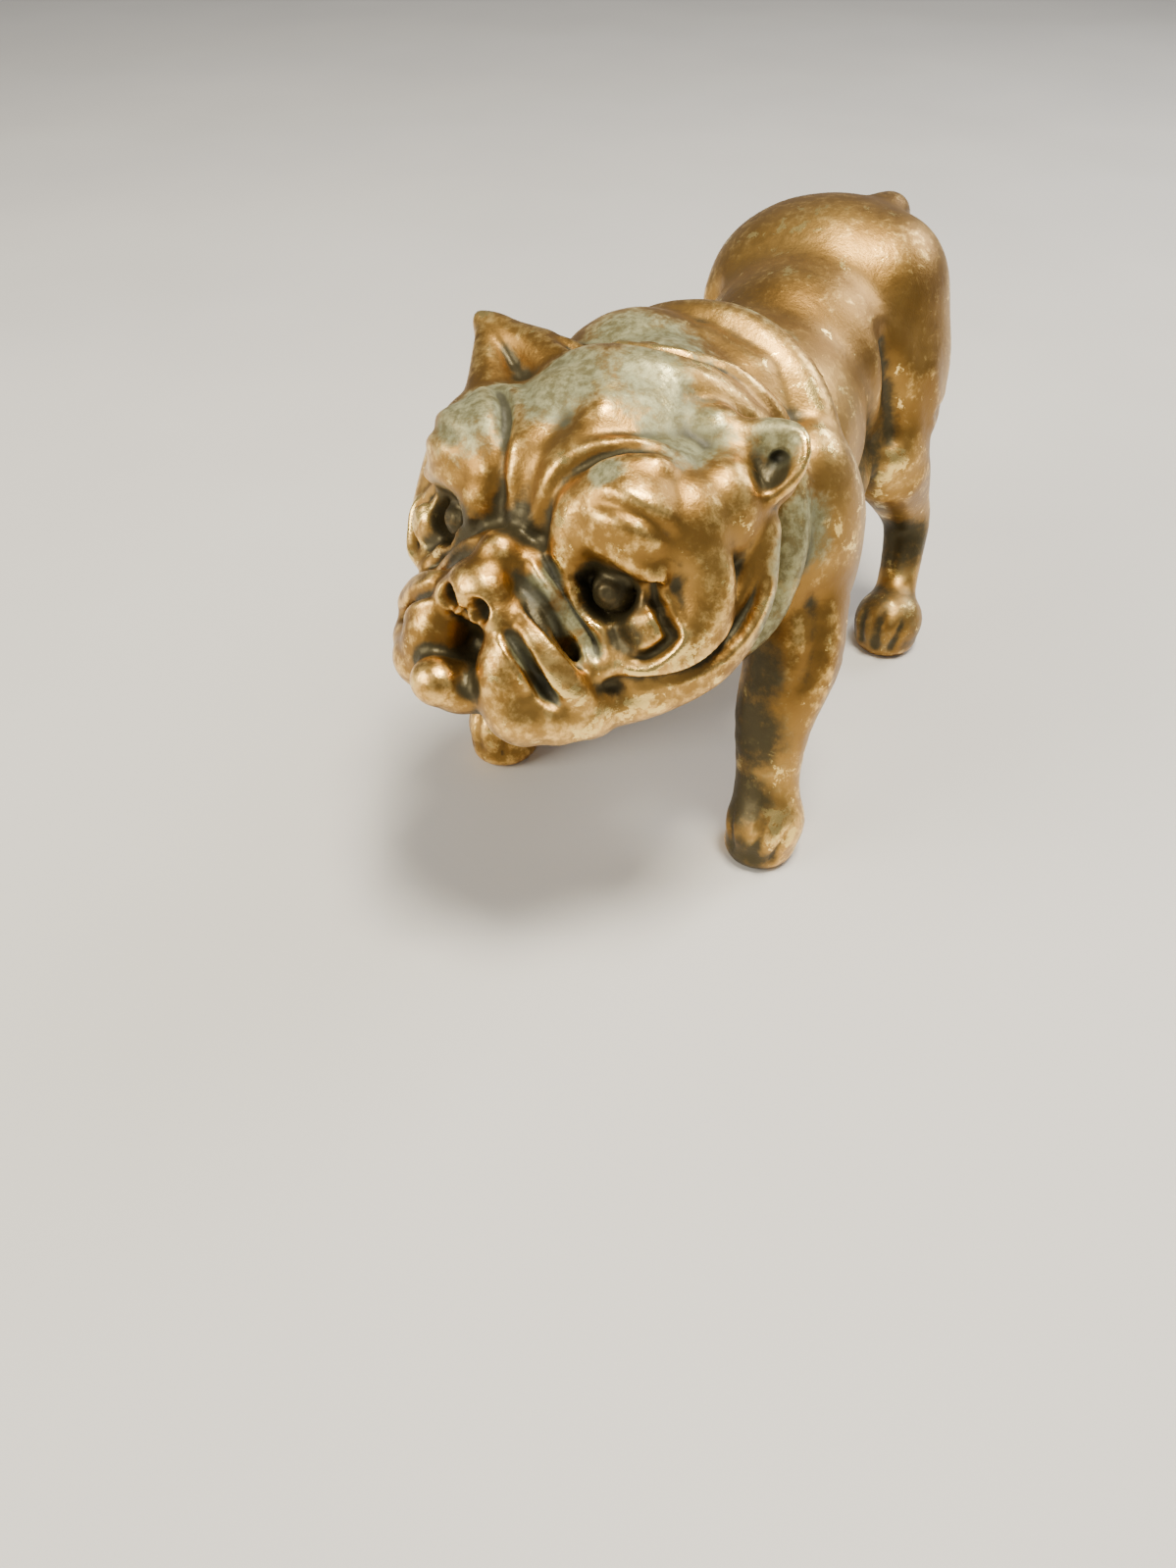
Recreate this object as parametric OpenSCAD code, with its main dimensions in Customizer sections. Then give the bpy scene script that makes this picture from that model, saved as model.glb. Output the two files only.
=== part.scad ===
// Standing bulldog coin bank: two hollow castings soldered at the neck, and a key-locked trap in the belly.
// Millimetres, +Z up. The dog faces -Y, its left side is +X, and the four feet stand on Z = 0.

/* [Body] */
// Distance between the fore feet and the hind feet
wheelbase = 72; // [70:1:74]
// Height of the back over the rump
back_h = 87; // [84:1:90]
// Half of the distance between the fore feet
fore_stance = 28.5; // [27:0.5:30]
// Half of the distance between the hind feet
hind_stance = 26; // [25:1:28]
// Thickness of the cast walls
wall = 2.8; // [2.4:0.1:3.2]

/* [Head] */
// Turn of the head towards the dog's right, in degrees
head_turn = 11; // [8:1:13]
// Lift of the muzzle, in degrees
head_lift = 17; // [15:1:19]

/* [Coin slot] */
// Length of the coin slot, which runs across the back behind the neck roll
slot_l = 30; // [28:1:32]
// Width of the coin slot
slot_w = 3.2; // [2.8:0.1:3.6]

/* [Trap] */
// Radius of the opening in the trap's frame
trap_r = 13.2; // [13:0.1:13.4]
// Thickness of the trap door
door_t = 1.1; // [0.9:0.1:1.2]
// Radius of the hinge pin
pin_r = 0.6; // [0.5:0.05:0.7]

/* [Lock] */
// Radius of the lock barrel's body
barrel_r = 4; // [3.9:0.1:4.2]
// Radius of the lock plug's body
plug_r = 2.6; // [2.4:0.1:2.7]
// Reach of the cam from the lock's axis
cam_reach = 8.2; // [8:0.1:8.4]

/* [Hidden] */
sides = [-1, 1];
fine = 64;

// The dog is drawn with Y = 0 midway between its feet, then moved so that the origin is under its middle
mid_y = -10.93;
fore_y = -wheelbase / 2;
hind_y = wheelbase / 2;

// The head's centre, and the flat joint behind it with the ring that locates the two castings
head_at = [-3.5, -50, 62.7];
joint_back = 9;
joint_web = 3;
spigot_r = 13;
spigot_l = 4;
spigot_bore = 10.5;
socket_r = spigot_r + 0.2;
socket_l = 5.5;
solder_h = 1;
reach = 120;

// The coin slot's place along the back
slot_y = -7;

// Levels and radii of the trap, from the flat pad under the belly upwards
trap_y = 6;
pad_r = 20;
belly_z = 36;
floor_top = 39.5;
frame_r = 19;
frame_t = 1.2;
casting_hole_r = trap_r + 0.4;
screw_ring = 16.6;
screw_r = 0.95;
screw_head_r = 1.7;
screw_sink = 0.9;
screw_l = 3.3;

// The hinge behind the opening, and the door that closes against the frame from below
hinge_y = 16.6;
hinge_z = 34.5;
knuckle_r = 1.35;
knuckle_gap = 3;
knuckle_end = 7;
outer_knuckle_l = knuckle_end - knuckle_gap - 0.2;
outer_knuckle_x = (knuckle_end + knuckle_gap + 0.2) / 2;
web_half = 0.9;
pin_head_r = 1;
door_r = trap_r + 1.2;
door_gap = 0.15;
door_top = belly_z - door_gap;
door_bottom = door_top - door_t;

// The cam lock in the door
lock_y = -7.2;
flange_r = 5;
flange_t = 0.85;
lock_face = door_bottom - flange_t;
barrel_top = 39.6;
nut_t = 2;
plug_head_r = plug_r + 0.8;
plug_head_t = 0.8;
running = 0.05;
cam_z = barrel_top + 0.1;
cam_t = 1;
cam_half_w = 2;
cam_screw_r = 0.7;
keyway_w = 0.9;
keyway_l = 3.8;
keyway_depth = 3;

module stand() translate([0, -mid_y, 0]) children();

module at_head() translate(head_at) rotate([0, 0, -head_turn]) rotate([-head_lift, 0, 0]) children();

module at_trap() stand() translate([0, trap_y, 0]) children();

module at_lock() at_trap() translate([0, lock_y, 0]) children();

// Everything in front of a plane square to the head, so many millimetres behind the head's centre
module ahead_of(back) at_head() translate([-reach / 2, back - reach, -42]) cube(reach);

// A lump of the cast form. An inset makes the same lump for the cavity.
module lump(at, r, inset = 0)
    hull() translate(at) scale([r[0] - inset, r[1] - inset, r[2] - inset])
        sphere(1, $fn = inset > 0 ? 16 : 22);

module limb(balls, inset = 0)
    for (i = [0 : len(balls) - 2]) hull() for (b = [balls[i], balls[i + 1]])
        translate([b[0], b[1], b[2]]) sphere(b[3] - inset, $fn = inset > 0 ? 16 : 20);

module neck(inset = 0) limb([[0, -22, 62.5, 22], [-3, -44, 66.5, 21]], inset);

module torso(inset = 0) {
    lump([0, -26, 50], [26, 18, 22], inset);
    lump([0, -4, 57], [23.5, 28, 21], inset);
    lump([0, 20, 61], [19.5, 22, 20], inset);
    lump([0, hind_y + 4, back_h - 17.5], [21, 20, 17.5], inset);
    lump([-8, hind_y + 2, back_h - 20], [17.5, 19, 17.5], inset);
    for (s = sides) {
        lump([s * 20, -24, 51], [11, 13, 22], inset);
        lump([s * 9, hind_y + 5, back_h - 19.5], [14, 17, 18], inset);
    }
    neck(inset);
}

module paw(x, y, r) hull() {
    translate([x, y - 1, 0]) cylinder(1, r, r, $fn = 32);
    translate([x, y, r]) sphere(r, $fn = 32);
}

module legs() for (s = sides) {
    limb([
        [s * 24, -28, 42, 8],
        [s * (fore_stance - 3.5), fore_y, 22, 7],
        [s * (fore_stance - 2), fore_y - 3, 10, 6.4]
    ]);
    paw(s * fore_stance, fore_y - 6, 7);
    lump([s * 15, hind_y + 4, 52], [10, 16, 24]);
    limb([
        [s * 17, hind_y - 4, 40, 9],
        [s * (hind_stance - 4), hind_y + 8, 24, 5.5],
        [s * hind_stance, hind_y - 2, 9, 5.5]
    ]);
    paw(s * hind_stance, hind_y - 6, 7.5);
}

module belly_boss() hull() {
    translate([0, trap_y, belly_z]) cylinder(1, pad_r, pad_r, $fn = fine);
    translate([0, trap_y, floor_top + 5]) cylinder(1, pad_r - 3, pad_r - 3, $fn = fine);
}

module tail() limb([[3, hind_y + 18, back_h - 7.5, 4.6], [3.5, hind_y + 24.6, back_h - 9.5, 3.4]]);

module screw_places() for (a = [45 : 90 : 315]) rotate([0, 0, a]) translate([screw_ring, 0, 0]) children();

// The lower body, with its cavity, the coin slot, the seat of the trap and the ring that enters the head
module body_casting() color("chocolate") stand() difference() {
    union() {
        difference() {
            union() {
                torso();
                legs();
                belly_boss();
                tail();
            }
            ahead_of(joint_back);
        }
        at_head() translate([0, joint_back + 1, 0]) rotate([90, 0, 0])
            cylinder(spigot_l + 1, spigot_r, spigot_r, $fn = fine);
    }
    difference() {
        torso(wall);
        ahead_of(joint_back + joint_web);
        translate([0, trap_y, belly_z]) cylinder(floor_top - belly_z, pad_r, pad_r, $fn = fine);
    }
    at_head() translate([0, joint_back + joint_web + 6, 0]) rotate([90, 0, 0])
        cylinder(joint_web + spigot_l + 8, spigot_bore, spigot_bore, $fn = fine);
    translate([0, trap_y + lock_y, floor_top]) cylinder(4, cam_reach + 1.2, cam_reach + 1.2, $fn = fine);
    translate([-slot_l / 2, slot_y - slot_w / 2, back_h - 25]) cube([slot_l, slot_w, 30]);
    translate([0, trap_y, belly_z - 1]) {
        cylinder(8, casting_hole_r, casting_hole_r, $fn = fine);
        cylinder(frame_t + 1, frame_r + running, frame_r + running, $fn = fine);
        screw_places() cylinder(8, screw_r + 0.1, screw_r + 0.1, $fn = 24);
    }
}

module head_form(inset = 0) {
    lump([0, 0, 3], [24, 18, 15.5], inset);
    lump([0, -17, -12], [15, 11, 11], inset);
    lump([0, -2, -16], [17, 14, 11], inset);
    for (s = sides) {
        lump([s * 12, -2, 6], [13, 14, 11], inset);
        lump([s * 20, -3, -8], [11, 14, 14], inset);
    }
}

module face() {
    lump([0, -23, -6], [6, 4.5, 5]);
    lump([0, -22, -22], [10, 9, 7]);
    for (s = sides) {
        lump([s * 10, -12, 5], [10.5, 7.5, 8]);
        lump([s * 10, -19, -18], [9.5, 9, 11]);
        lump([s * 15, -13, -21], [8.5, 9, 9]);
    }
    // The ears: the left one is folded back, and the right one stands out to a point
    limb([[20, 3, 13, 4.4], [27, 6, 17.6, 2.6]]);
    limb([[-18, 4, 16, 5], [-30.6, 3.2, 20.6, 1.8]]);
}

// The head and the front of the neck, hollow, with a round socket over the body's ring
module head_casting() color("peru") stand() difference() {
    intersection() {
        union() {
            at_head() {
                head_form();
                face();
            }
            neck();
        }
        ahead_of(joint_back);
    }
    intersection() {
        union() {
            at_head() head_form(wall);
            neck(wall);
        }
        ahead_of(joint_back - socket_l);
    }
    at_head() translate([0, joint_back + 1, 0]) rotate([90, 0, 0])
        cylinder(socket_l + 2, socket_r, socket_r, $fn = fine);
}

// A run of solder on the end of the body's ring
module neck_solder() color("darkgray") stand() at_head()
    translate([0, joint_back - spigot_l, 0]) rotate([90, 0, 0]) rotate_extrude($fn = fine)
        polygon([
            [spigot_bore + 0.2, 0],
            [spigot_r - 0.1, 0],
            [spigot_r - 0.1, solder_h],
            [spigot_bore + 1, 0.4]
        ]);

module trap_frame() color("darkgoldenrod") at_trap() difference() {
    union() {
        translate([0, 0, belly_z]) cylinder(frame_t, frame_r, frame_r, $fn = fine);
        for (s = sides) {
            knuckle(s * outer_knuckle_x, outer_knuckle_l);
            translate([s * outer_knuckle_x, hinge_y, (hinge_z + belly_z) / 2 + 0.1])
                cube([outer_knuckle_l, 2 * web_half, belly_z - hinge_z + 0.2], center = true);
        }
    }
    translate([0, 0, belly_z - 1]) cylinder(frame_t + 2, trap_r, trap_r, $fn = fine);
    screw_places() translate([0, 0, belly_z]) {
        translate([0, 0, -1]) cylinder(frame_t + 2, screw_r + 0.1, screw_r + 0.1, $fn = fine);
        cylinder(screw_sink, screw_head_r + 0.05, screw_r + 0.1, $fn = fine);
    }
    pin_hole(pin_r + 0.01);
}

module knuckle(x, l) translate([x, hinge_y, hinge_z]) rotate([0, 90, 0])
    cylinder(l, knuckle_r, knuckle_r, center = true, $fn = fine);

module pin_hole(r) translate([0, hinge_y, hinge_z]) rotate([0, 90, 0])
    cylinder(2 * knuckle_end + 4, r, r, center = true, $fn = fine);

module frame_screws() color("goldenrod") at_trap() screw_places() translate([0, 0, belly_z]) difference() {
    union() {
        cylinder(screw_sink, screw_head_r, screw_r, $fn = fine);
        cylinder(screw_l, screw_r, screw_r, $fn = fine);
    }
    translate([-screw_head_r, -0.2, -1]) cube([2 * screw_head_r, 0.4, 1.4]);
}

// A pin with both ends peened over the outer knuckles
module hinge_pin() color("silver") at_trap() translate([0, hinge_y, hinge_z]) rotate([0, 90, 0]) {
    cylinder(2 * knuckle_end + 0.8, pin_r, pin_r, center = true, $fn = fine);
    for (s = sides) translate([0, 0, s * (knuckle_end + 0.25)])
        cylinder(0.5, pin_head_r, pin_head_r, center = true, $fn = fine);
}

module trap_door() color("darkgoldenrod") at_trap() difference() {
    union() {
        translate([0, 0, door_bottom]) cylinder(door_t, door_r, door_r, $fn = fine);
        knuckle(0, 2 * knuckle_gap);
        translate([-knuckle_gap, hinge_y - 4.6, door_bottom]) cube([2 * knuckle_gap, 4.6, door_t]);
    }
    pin_hole(pin_r + running);
    translate([0, lock_y, door_bottom - 1])
        cylinder(door_t + 2, barrel_r + 0.02, barrel_r + 0.02, $fn = fine);
}

module lock_barrel() color("goldenrod") at_lock() difference() {
    union() {
        translate([0, 0, lock_face]) cylinder(flange_t, flange_r, flange_r, $fn = fine);
        translate([0, 0, lock_face]) cylinder(barrel_top - lock_face, barrel_r, barrel_r, $fn = fine);
    }
    translate([0, 0, lock_face - 1]) {
        cylinder(barrel_top - lock_face + 2, plug_r + running, plug_r + running, $fn = fine);
        cylinder(1 + plug_head_t, plug_head_r + running, plug_head_r + running, $fn = fine);
    }
}

module lock_nut() color("goldenrod") at_lock() translate([0, 0, door_top]) difference() {
    cylinder(nut_t, flange_r, flange_r, $fn = 6);
    translate([0, 0, -1]) cylinder(nut_t + 2, barrel_r + 0.02, barrel_r + 0.02, $fn = fine);
}

module lock_plug() color("silver") at_lock() difference() {
    union() {
        translate([0, 0, lock_face]) cylinder(cam_z - lock_face, plug_r, plug_r, $fn = fine);
        translate([0, 0, lock_face]) cylinder(plug_head_t - running, plug_head_r, plug_head_r, $fn = fine);
    }
    translate([-keyway_w / 2, -keyway_l / 2, lock_face - 1]) cube([keyway_w, keyway_l, keyway_depth + 1]);
    translate([0, 0, cam_z - 1.8]) cylinder(3, cam_screw_r + 0.02, cam_screw_r + 0.02, $fn = fine);
}

// The cam points sideways when the lock is open, and forwards, over the casting's floor, when it is turned
module lock_cam() color("silver") at_lock() translate([0, 0, cam_z]) difference() {
    union() {
        cylinder(cam_t, plug_r, plug_r, $fn = fine);
        translate([0, -cam_half_w, 0]) cube([cam_reach - cam_half_w, 2 * cam_half_w, cam_t]);
        translate([cam_reach - cam_half_w, 0, 0]) cylinder(cam_t, cam_half_w, cam_half_w, $fn = fine);
    }
    translate([0, 0, -1]) cylinder(cam_t + 2, cam_screw_r + 0.02, cam_screw_r + 0.02, $fn = fine);
}

module cam_screw() color("dimgray") at_lock() difference() {
    union() {
        translate([0, 0, cam_z - 1.5]) cylinder(cam_t + 1.6, cam_screw_r, cam_screw_r, $fn = fine);
        translate([0, 0, cam_z + cam_t]) cylinder(0.8, 1.5, 1.5, $fn = fine);
    }
    translate([-2, -0.2, cam_z + cam_t + 0.4]) cube([4, 0.4, 1]);
}

body_casting();
head_casting();
neck_solder();
trap_frame();
frame_screws();
hinge_pin();
trap_door();
lock_barrel();
lock_nut();
lock_plug();
lock_cam();
cam_screw();
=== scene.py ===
import math

import bmesh
import bpy
import numpy as np
from mathutils import Euler, Matrix, Vector
from mathutils.bvhtree import BVHTree
from mathutils.kdtree import KDTree


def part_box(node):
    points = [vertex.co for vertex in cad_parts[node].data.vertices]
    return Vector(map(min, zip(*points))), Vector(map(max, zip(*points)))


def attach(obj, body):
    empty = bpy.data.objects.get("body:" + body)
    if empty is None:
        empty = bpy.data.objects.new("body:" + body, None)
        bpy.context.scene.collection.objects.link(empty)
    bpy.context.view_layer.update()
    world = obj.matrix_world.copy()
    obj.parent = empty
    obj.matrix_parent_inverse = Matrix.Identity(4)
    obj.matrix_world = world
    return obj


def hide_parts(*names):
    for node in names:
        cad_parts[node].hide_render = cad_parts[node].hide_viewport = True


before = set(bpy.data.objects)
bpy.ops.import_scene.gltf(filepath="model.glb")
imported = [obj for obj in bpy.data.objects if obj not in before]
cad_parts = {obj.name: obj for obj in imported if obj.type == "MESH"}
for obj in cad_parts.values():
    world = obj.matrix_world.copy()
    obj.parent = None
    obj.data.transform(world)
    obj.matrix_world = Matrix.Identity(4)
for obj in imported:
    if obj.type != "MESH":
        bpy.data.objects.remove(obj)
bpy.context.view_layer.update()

# Camera: the viewpoint above the dog's left shoulder, tilted well down, with a short lens.
# The dog's own frame is in millimetres with Y = 0 midway between its feet; the record's origin is under its middle.
trap_y = 6
frame_low, frame_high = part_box("trap_frame")
dog_back_mm = (frame_low[1] + frame_high[1]) / 2 * 1000 - trap_y
to_frame = Matrix.Scale(0.001, 4) @ Matrix.Translation((0, dog_back_mm, 0))
camera_at = Vector((72.5, -182.6, 150))
camera_heading = math.radians(30)
camera_tilt = math.radians(43)
camera = bpy.data.objects.new("camera", bpy.data.cameras.new("camera"))
bpy.context.scene.collection.objects.link(camera)
camera.data.lens = 26
camera.data.sensor_width = 36
camera.data.clip_start = 0.01
camera.location = to_frame @ camera_at
camera.rotation_euler = (math.pi / 2 - camera_tilt, 0, camera_heading)
bpy.context.scene.camera = camera


# Figure: the pattern for both castings, a standing bulldog. It is worked up whole as clay is, from rounded
# lumps pressed together and smoothed, then sawn at the neck. Each half is tooled with grooves, ridges and pits.
sides = (-1, 1)
wall = 2.8
wheelbase = 72
fore_y = -wheelbase / 2
hind_y = wheelbase / 2
back_h = 87
fore_stance = 28.5
hind_stance = 26
head_at = Vector((-3.5, -50, 62.7))
head_turn = 11
head_lift = 17
joint_back = 9
head_pose = (Matrix.Translation(head_at) @ Euler((0, 0, math.radians(-head_turn))).to_matrix().to_4x4()
             @ Euler((math.radians(-head_lift), 0, 0)).to_matrix().to_4x4())


def lump(clay, at, radii, turn=(0, 0, 0), pose=Matrix(), round_=3):
    """Presses one rounded lump of clay on, of three radii, turned by degrees."""
    spin = Euler([math.radians(a) for a in turn]).to_matrix().to_4x4()
    place = pose @ Matrix.Translation(at) @ spin @ Matrix.Diagonal((*radii, 1))
    bmesh.ops.create_icosphere(clay, subdivisions=round_, radius=1, matrix=place)


def curve_through(points, step):
    """Runs a smooth curve through a few points, each of three or four numbers."""
    knots = [np.array(p, float) for p in points]
    knots = [2 * knots[0] - knots[1]] + knots + [2 * knots[-1] - knots[-2]]
    out = []
    for a, b, c, d in zip(knots, knots[1:], knots[2:], knots[3:]):
        count = max(2, int(np.linalg.norm((c - b)[:3]) / step))
        for t in np.arange(count) / count:
            out.append(0.5 * (2 * b + (c - a) * t + (2 * a - 5 * b + 4 * c - d) * t * t
                              + (3 * b - a - 3 * c + d) * t ** 3))
    out.append(knots[-2])
    return np.array(out)


def roll(clay, path, pose=Matrix()):
    """Lays a roll of clay along a path of (x, y, z, radius)."""
    thin = min(p[3] for p in path)
    for x, y, z, r in curve_through(path, thin * 0.45):
        lump(clay, (x, y, z), (r, r, r), pose=pose, round_=2)


def mirrored(path, side):
    return [(side * p[0], *p[1:]) for p in path]


def make_torso(clay, inset=0):
    def part(at, radii, turn=(0, 0, 0)):
        lump(clay, at, [r - inset for r in radii], turn)

    part((0, -26, 50), (26, 18, 22))
    part((0, -4, 57), (22.8, 28, 20.5))
    part((0, 20, 61), (18.8, 22, 19.5))
    part((-1, hind_y + 4, back_h - 18), (21, 20, 17.5))
    part((-8, hind_y + 2, back_h - 20), (17.5, 19, 17.5))
    for side in sides:
        part((side * 20, -24, 51), (11, 13, 22))
        part((side * 9, hind_y + 4.5, back_h - 20), (13.5, 17, 18))
    part((-8, -25, 68), (17, 15, 16.5))
    make_neck(clay, inset)


def make_neck(clay, inset):
    roll(clay, [(0, -22, 62, 21 - inset), (-3, -44, 66, 20 - inset)])


def make_limbs(clay):
    for side in sides:
        # Fore leg: shoulder, elbow, forearm, wrist and a paw with a flat sole
        roll(clay, mirrored([(23, -27, 44, 9), (25, -31, 35, 8.6), (24.8, -35.5, 25, 7.2), (26, -38.5, 15, 6),
                             (27, -40, 10, 6.4)], side))
        lump(clay, (side * 21, -26, 36), (7, 8, 9))
        lump(clay, (side * 27.8, fore_y - 5.5, 6.4), (7.1, 7.8, 7.4))
        lump(clay, (side * 27.6, fore_y - 6, 2), (6.8, 7.4, 3.4))
        # Hind leg: thigh, stifle, hock and paw
        lump(clay, (side * 15, hind_y + 3, 54), (10.5, 16, 21))
        lump(clay, (side * 19, hind_y - 4, 44), (7.5, 9.5, 10), (20, 0, 0))
        roll(clay, mirrored([(19, hind_y - 3, 40, 8.6), (20.5, hind_y + 5, 30, 6.4), (22.5, hind_y + 8, 22, 5.2),
                             (24.5, hind_y + 2, 12, 4.6), (25.5, hind_y - 3, 8, 5.2)], side))
        lump(clay, (side * hind_stance, hind_y - 5.5, 6), (7.4, 7.8, 7))
        lump(clay, (side * hind_stance, hind_y - 5.5, 2), (7, 7.4, 3.4))
    # The docked tail
    roll(clay, [(3, 52, 80, 5), (3.5, 57, 79.5, 4.2), (3.5, 60, 77.5, 3.4)])
    # The flat pad that the trap is let into
    lump(clay, (0, trap_y, 42), (21, 21, 9))
    lump(clay, (0, 12, 44), (21, 22, 10))
    bmesh.ops.create_cone(clay, cap_ends=True, segments=64, radius1=21.4, radius2=18, depth=13,
                          matrix=Matrix.Translation((0, trap_y, 39.5)))


def make_neck_rolls(clay):
    roll(clay, [(-15, -43, 76, 4), (-8, -43, 81, 4.4), (2, -42, 81.8, 4.4), (9, -38, 79, 4.2),
                (14.5, -34, 74.5, 3.4)])
    roll(clay, [(-6, -37, 82, 2.4), (4, -36.5, 82.3, 2.6), (10.5, -31.5, 79.3, 2.6), (15.8, -29, 74.5, 2.4),
                (18.5, -29, 69, 2.2)])
    roll(clay, [(-18, -20, 72, 4.6), (-10, -16, 77.5, 5), (1, -14.5, 79, 5.2), (11, -16, 76, 5.2), (18, -19, 70, 5),
                (22.5, -24, 63, 4.8), (24.5, -30, 55, 4.6)])
    roll(clay, [(21, -33, 68, 3), (23.5, -37, 59, 3.4), (22.5, -41, 49, 3.4), (18, -45, 42, 3.2)])


def make_head(clay, inset=0):
    def part(at, radii, turn=(0, 0, 0)):
        lump(clay, at, [r - inset for r in radii], turn, head_pose)

    def lay(path):
        roll(clay, path, head_pose)

    part((0, 1, 3), (23, 17, 15.5))
    part((0, -11, -11), (14.5, 10, 11))
    part((0, -2, -15), (17, 13, 11))
    for side in sides:
        part((side * 12, -1, 5.5), (12.5, 13.5, 11))
        part((side * 18.5, -2, -7), (9.5, 11.5, 12.5))
    if inset:
        return
    part((0, -6, 6.5), (14, 11, 10))
    # Nose leather, its bridge and its wings
    part((0, -22.2, -8.2), (5.6, 4.6, 4.8))
    part((0, -19, -3.6), (3.8, 4, 4.2))
    # Chin and lower lip
    part((-1.2, -27.4, -21.8), (4.2, 3.8, 3.8))
    part((-0.6, -24, -23), (6, 4.5, 4))
    part((0, -17, -23), (8, 9, 5))
    part((0, -12, -22), (11, 11, 6))
    for side in sides:
        part((side * 4.4, -22.8, -10.2), (2.7, 3.2, 2.8))
        # The heavy brow, rolled over the eye
        part((side * 14, -11, 6.2), (9, 7.2, 7.6))
        part((side * 8.8, -13.5, 1.8), (4.4, 4.8, 5.4))
        part((side * 19, -5, 5), (8, 7.6, 9))
        part((side * 21, 0, 8), (6.5, 7, 8))
        lay(mirrored([(7.4, -14.2, 0.4, 2.6), (11, -15.2, 2.8, 2.8), (16, -14.8, 3.2, 2.8), (20.5, -12, 1.4, 2.8)],
                     side))
        lay(mirrored([(15.5, -9, 12, 3.6), (12, -12.5, 9.5, 4.2), (9.2, -14.2, 5, 4)], side))
        # The thin wrinkle that arches over the brow
        lay(mirrored([(1.6, -15.4, 1.5, 1.5), (2.8, -14.6, 7.5, 1.6), (6.5, -11.6, 12.6, 1.6), (12, -8, 14.6, 1.6),
                      (17, -6, 14, 1.4)], side))
        # Eyeball, and the bag beneath it
        part((side * 14.8, -10, -3.4), (3.7, 3.7, 3.7))
        part((side * 21.2, -11, -6.8), (3.8, 3.6, 3.3), (0, 0, side * 30))
        # The cheek's ridge from the brow's outer end round under the eye, and the jowl outside it
        lay(mirrored([(20, -9, 6.5, 4), (24.5, -6, 2.5, 4.2), (26, -5.5, -4, 4.4), (24.4, -8, -9.5, 4.2),
                      (20.5, -11, -12.5, 3.6), (17, -12.5, -13.5, 2.6)], side))
        lay(mirrored([(25, 5, 6, 4), (27.5, 3.5, -3, 4), (26.8, -1, -11, 4.2), (23, -6, -16.5, 4.2),
                      (18, -10, -20.5, 4), (13, -12, -22.5, 3.6)], side))
        # The band over the muzzle, and the whisker roll from the nostril to the jowl
        lay(mirrored([(2.5, -16.8, -3.6, 2.8), (7.5, -16, -5, 3), (11.5, -14.6, -8, 3.2), (15.5, -12.8, -11.5, 3)],
                     side))
        lay(mirrored([(6.2, -20.6, -8.8, 1.7), (9.6, -21.2, -10.8, 2.1), (13.4, -20.4, -13.8, 2.4),
                      (16.6, -18.4, -17.4, 2.6), (18, -16, -20, 2)], side))
        part((side * 16.6, -13.6, -14), (3.2, 3.2, 3.2))
        # The flew: a heavy drop of lip hanging beside the mouth
        part((side * 7.6, -21.4, -18.4), (5.2, 5.8, 8.8), (0, side * -8, 0))
        part((side * 9.6, -20, -23), (6, 6.4, 5.4))
        part((side * 13, -17, -22), (6, 6.4, 5.4))
        part((side * 15.5, -14, -21.5), (5.6, 6.4, 5))
        part((side * 23, 7.4, 14), (5.6, 2.6, 5.6), (0, side * 25, side * -8))
        part((side * 18.5, 3, 12), (4.8, 4, 5.5), (0, side * 25, 0))
    # The rose ears: a rolled rim round a hollow. The right one stands out to a point.
    lay([(14, 4, 14, 4), (19, 6, 17, 3.2), (23.5, 7.5, 19.2, 2.3), (26.6, 7.5, 19.8, 1.4), (28.6, 6.4, 17.6, 1.2),
         (28.6, 4.8, 14.6, 1.2), (26.6, 3.4, 11.4, 1.4), (24, 2.2, 8.6, 1.8)])
    lay([(-14, 4, 14, 4), (-19, 5, 17.5, 3), (-24.5, 4.5, 20.4, 2.2), (-29.5, 3.6, 21.6, 1.5), (-31.6, 3, 21.2, 1.1),
         (-30.4, 3.6, 17.6, 1.2), (-28, 3.4, 13, 1.4), (-24, 2.4, 9, 1.9)])
    part((-25, 5.4, 16), (5.4, 2.2, 4.6), (0, -35, 8))
    lay([(-7, 4, 13.5, 7), (-15, 5, 17.5, 5), (-22, 4.6, 19.6, 3.2), (-29.5, 3.2, 20.8, 1.5)])
    lay([(7, 4, 13.5, 6.5), (15, 5, 16.5, 4.6)])
    lay([(-19, -4, 9.5, 5.5), (-23, -1, 13.5, 4), (-29.5, 2.6, 20, 1.5)])


def shape_of(obj):
    graph = bpy.context.evaluated_depsgraph_get()
    return bpy.data.meshes.new_from_object(obj.evaluated_get(graph))


def fuse(clay, name, grain):
    """Presses the lumps into one skin with an even grain."""
    mesh = bpy.data.meshes.new(name)
    clay.to_mesh(mesh)
    clay.free()
    obj = bpy.data.objects.new(name, mesh)
    bpy.context.scene.collection.objects.link(obj)
    return refine(obj, grain)


def refine(obj, grain):
    remesh = obj.modifiers.new("fuse", "REMESH")
    remesh.mode = "VOXEL"
    remesh.voxel_size = grain
    remesh.use_smooth_shade = True
    obj.data = shape_of(obj)
    obj.modifiers.clear()
    return obj


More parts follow.
